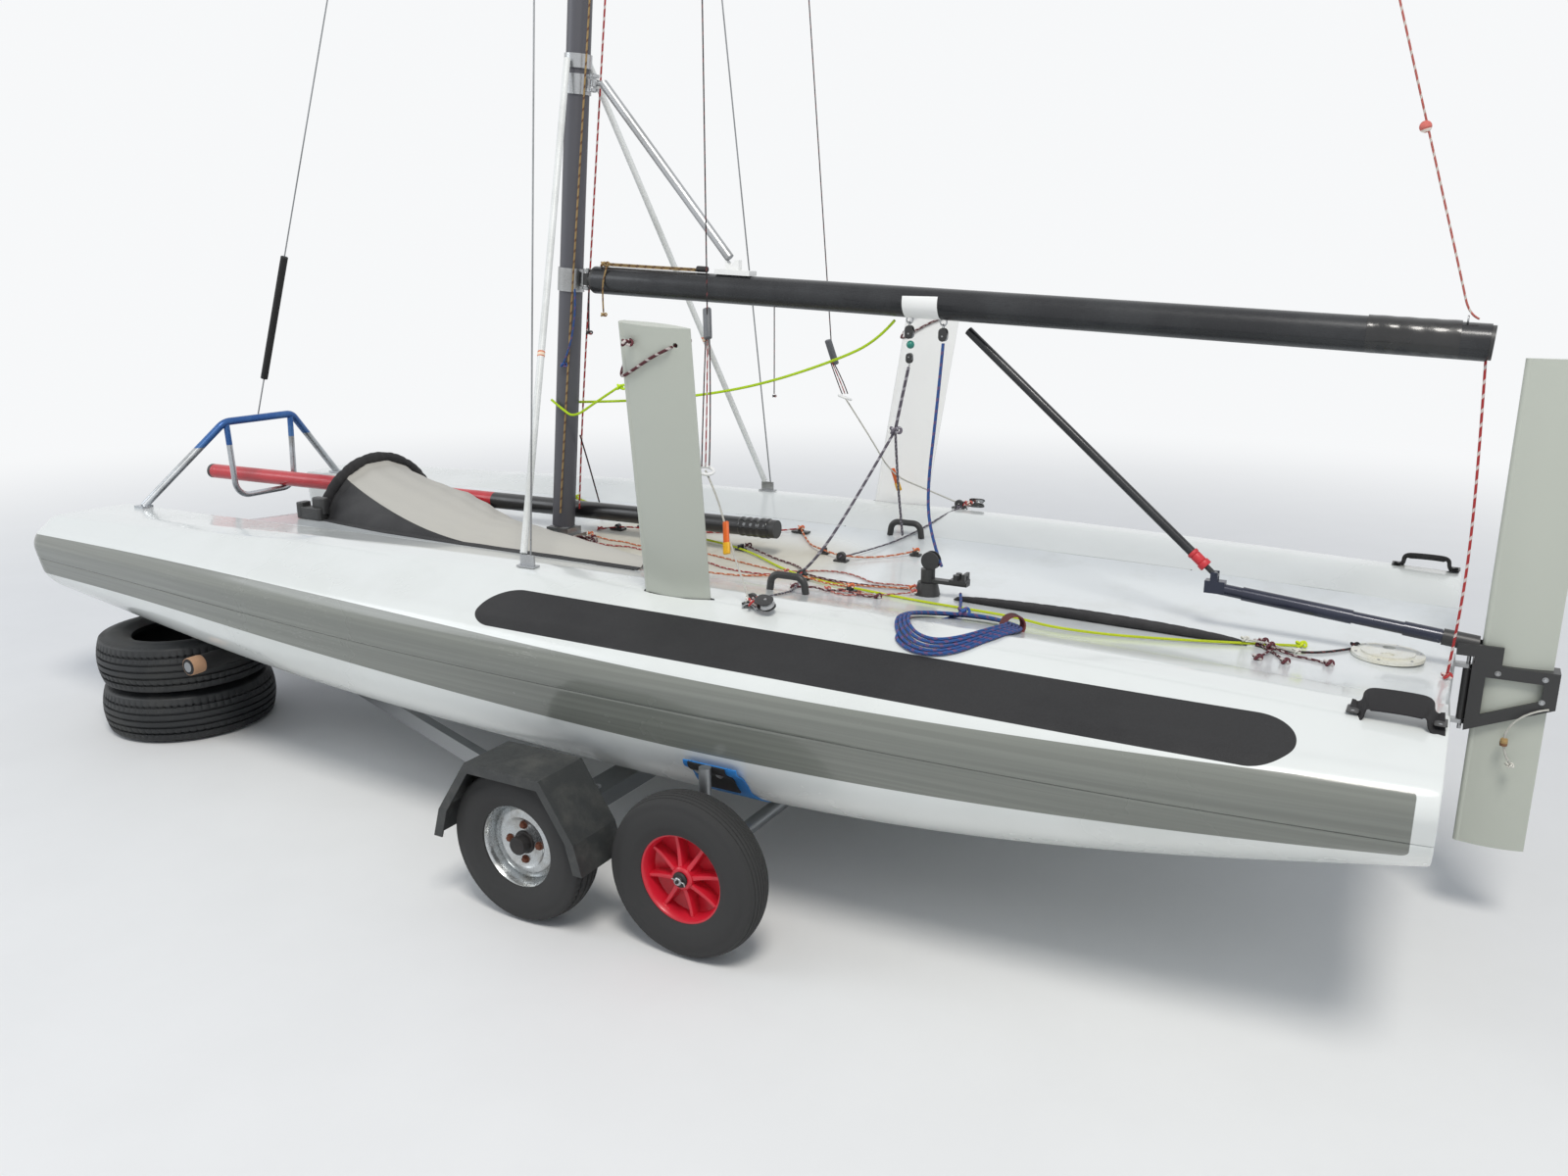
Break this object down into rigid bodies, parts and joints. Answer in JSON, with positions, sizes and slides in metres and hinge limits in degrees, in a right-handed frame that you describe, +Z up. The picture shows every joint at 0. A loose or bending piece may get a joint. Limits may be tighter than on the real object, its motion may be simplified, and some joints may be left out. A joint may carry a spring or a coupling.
{
  "type": "sailing dinghy on its trolley and road trailer",
  "caption": "Twin-hulled sailing dinghy with mast and boom, parked on its launching trolley, road trailer and flat tyres; foils, pole, rudder, boom and wheels move.",
  "frame": {"origin": "on the ground under the middle of the overall length, on the centreline", "axes": "+X aft, bow towards -X; +Y starboard; +Z up, along the mast"},
  "size_m": [4.828, 2.336, 7.4178],
  "materials": {
    "hull_gelcoat": "gloss gelcoat with a grey band",
    "deck_gelcoat": "gloss gelcoat with a black non-slip strip",
    "cockpit_floor": "satin non-slip gelcoat",
    "hatch_plastic": "satin",
    "mast_grey": "satin anodised",
    "boom_tube": "satin",
    "brushed_fittings": "satin",
    "stay_wire": "stranded wire",
    "shroud_cover": "smooth plastic tube",
    "black_plastic": "satin",
    "white_plastic": "satin",
    "gantry_tube": "anodised blue and silver tube",
    "black_webbing": "woven webbing",
    "blue_webbing": "woven webbing",
    "cover_cloth": "coated sail cloth",
    "galvanised": "dull galvanised",
    "black_foam": "dense foam",
    "tyre_rubber": "weathered rubber",
    "red_plastic": "satin moulded plastic",
    "rim_steel": "silver paint with rust at the bolts",
    "tiller_tube": "gloss tube",
    "foil_grey": "satin laminate",
    "foil_white": "satin laminate",
    "sprit_tube": "red and black laminate tube"
  },
  "bodies": {
    "hull": {"hull_moulding": "hull_gelcoat", "deck_moulding": "deck_gelcoat", "bridge_deck": "cockpit_floor", "hatch_cover": "hatch_plastic", "mast": "mast_grey", "mast_step": "brushed_fittings", "mast_fittings": "brushed_fittings", "spreaders": "mast_grey", "cap_shrouds": "stay_wire", "lower_shrouds": "shroud_cover", "forestay": "stay_wire", "forestay_sleeve": "black_plastic", "chainplates": "brushed_fittings", "bow_gantry": "gantry_tube", "chute_hoop": "black_webbing", "chute_cover": "cover_cloth", "deck_blocks": "black_plastic", "grab_handles": "black_plastic", "quarter_handles": "black_webbing", "sheet_base": "black_plastic", "toe_strap": "black_webbing", "transom_fitting": "brushed_fittings", "trolley_frame": "galvanised", "trolley_slings": "blue_webbing", "trolley_bar_pads": "black_foam", "trailer_axle": "galvanised", "trailer_frame": "galvanised", "coupling_head": "galvanised", "mudguards": "black_plastic", "bow_tyres": "tyre_rubber"},
    "boom": {"boom_spar": "boom_tube", "boom_fittings": "black_plastic", "gnav_strut": "brushed_fittings", "gnav_slider": "white_plastic"},
    "rudder": {"rudder_stock": "black_plastic", "tiller": "tiller_tube"},
    "rudder_foil": {"rudder_blade": "foil_grey"},
    "extension": {"tiller_extension": "black_plastic"},
    "board_port": {"daggerboard_port": "foil_grey"},
    "board_starboard": {"daggerboard_starboard": "foil_white"},
    "sprit": {"bowsprit": "sprit_tube", "bowsprit_caps": "black_plastic"},
    "sheet_lead": {"sheet_swivel": "brushed_fittings"},
    "trolley_wheel_port": {"trolley_tyre_port": "tyre_rubber", "trolley_rim_port": "red_plastic"},
    "trolley_wheel_starboard": {"trolley_tyre_starboard": "tyre_rubber", "trolley_rim_starboard": "red_plastic"},
    "trailer_wheel_port": {"trailer_tyre_port": "tyre_rubber", "trailer_rim_port": "rim_steel"},
    "trailer_wheel_starboard": {"trailer_tyre_starboard": "tyre_rubber", "trailer_rim_starboard": "rim_steel"}
  },
  "joints": [
    {"name": "boom_swing", "type": "hinge", "parent": "hull", "child": "boom", "pos_m": [-0.33772, 0, 1.529], "axis": [0.0965, 0, 0.9953], "range_deg": [-50, 50]},
    {"name": "rudder_turn", "type": "hinge", "parent": "hull", "child": "rudder", "pos_m": [2.228, 0, 0.5885], "axis": [0, 0, 1], "range_deg": [-40, 40]},
    {"name": "rudder_lift", "type": "slide", "parent": "rudder", "child": "rudder_foil", "axis": [0, 0, -1], "range_m": [-0.25, 0.18]},
    {"name": "extension_tilt", "type": "hinge", "parent": "rudder", "child": "extension", "pos_m": [1.638, 0, 0.806], "axis": [0, 1, 0], "range_deg": [-36, 0]},
    {"name": "board_lift_port", "type": "slide", "parent": "hull", "child": "board_port", "axis": [-0.0698, 0.2074, -0.9758], "range_m": [0, 0.26]},
    {"name": "board_lift_starboard", "type": "slide", "parent": "hull", "child": "board_starboard", "axis": [-0.0698, -0.2074, -0.9758], "range_m": [0, 0.26]},
    {"name": "sprit_slide", "type": "slide", "parent": "hull", "child": "sprit", "axis": [-0.9999, 0, -0.0111], "range_m": [0, 1.3]},
    {"name": "sheet_lead_turn", "type": "hinge", "parent": "hull", "child": "sheet_lead", "pos_m": [0.886, -0.09, 0.71469], "axis": [0, 0, 1], "range_deg": [-120, 120]},
    {"name": "trolley_wheel_port_spin", "type": "hinge", "parent": "hull", "child": "trolley_wheel_port", "pos_m": [0.696, -1.04, 0.203], "axis": [0, 1, 0], "continuous": true},
    {"name": "trolley_wheel_starboard_spin", "type": "hinge", "parent": "hull", "child": "trolley_wheel_starboard", "pos_m": [0.696, 1.04, 0.203], "axis": [0, 1, 0], "continuous": true},
    {"name": "trailer_wheel_port_spin", "type": "hinge", "parent": "hull", "child": "trailer_wheel_port", "pos_m": [0.251, -1.09, 0.2], "axis": [0, 1, 0], "continuous": true},
    {"name": "trailer_wheel_starboard_spin", "type": "hinge", "parent": "hull", "child": "trailer_wheel_starboard", "pos_m": [0.251, 1.09, 0.2], "axis": [0, 1, 0], "continuous": true}
  ]
}
